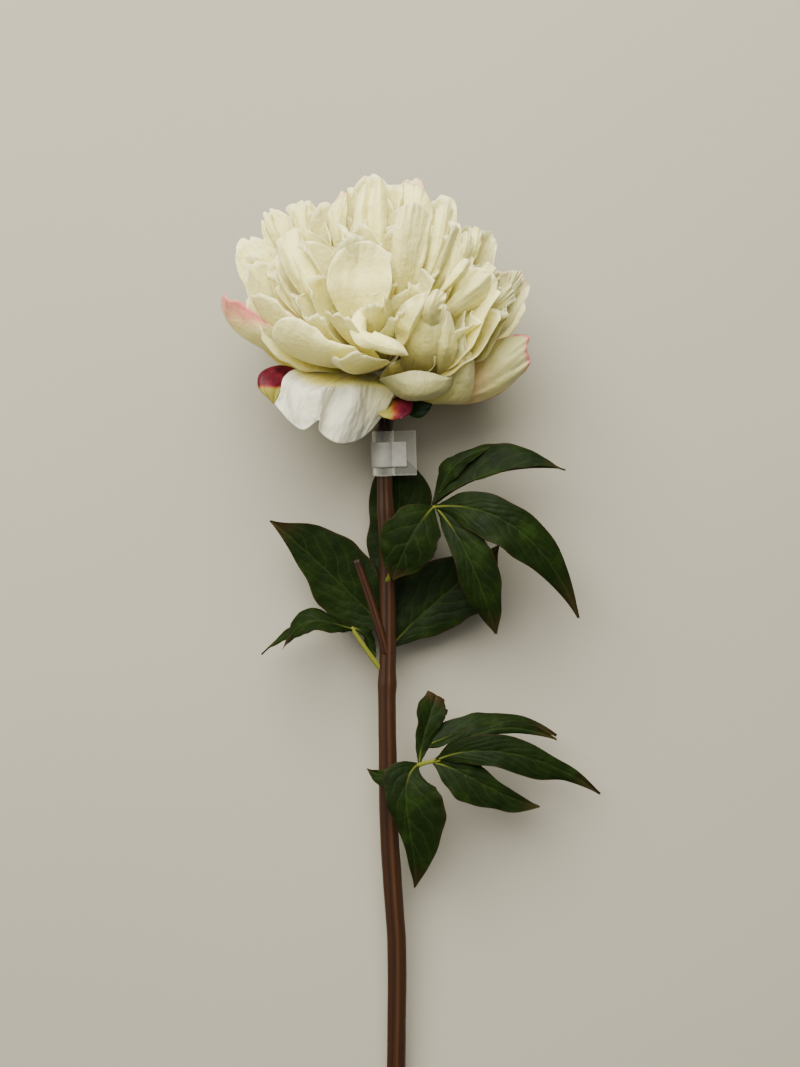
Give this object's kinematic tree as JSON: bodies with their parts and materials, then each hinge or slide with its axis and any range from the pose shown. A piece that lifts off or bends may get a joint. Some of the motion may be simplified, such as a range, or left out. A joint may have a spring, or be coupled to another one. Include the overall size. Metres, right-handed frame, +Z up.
{
  "type": "cut peony stem",
  "caption": "Single large double peony bloom on a bare grooved stem with divided leaves and a blank price tag, lying on its side.",
  "frame": {"origin": "centre of the footprint, on the surface that the flower lies on", "axes": "+Y along the stem from its cut end to the bloom, +Z up off the surface, +X to the right seen from above"},
  "size_m": [0.1996, 0.5879, 0.1361],
  "materials": {
    "petal": "cream woven petals, silky, yellow-green in the depths, a few pink tips",
    "sepal": "dark red sepals with yellow-green points",
    "stem": "moulded brown stem with one long groove, slight sheen",
    "leaf": "coated dark green leaves with pressed veins, slight gloss",
    "film": "clear film",
    "label": "blank white sticker"
  },
  "bodies": {
    "root": {"bloom": "petal", "calyx": "sepal", "stem": "stem", "leaf_upper_right": "leaf", "leaf_back": "leaf", "leaf_left": "leaf", "leaf_lower_right": "leaf", "tag_sleeve": "film", "tag_label": "label"}
  },
  "joints": []
}
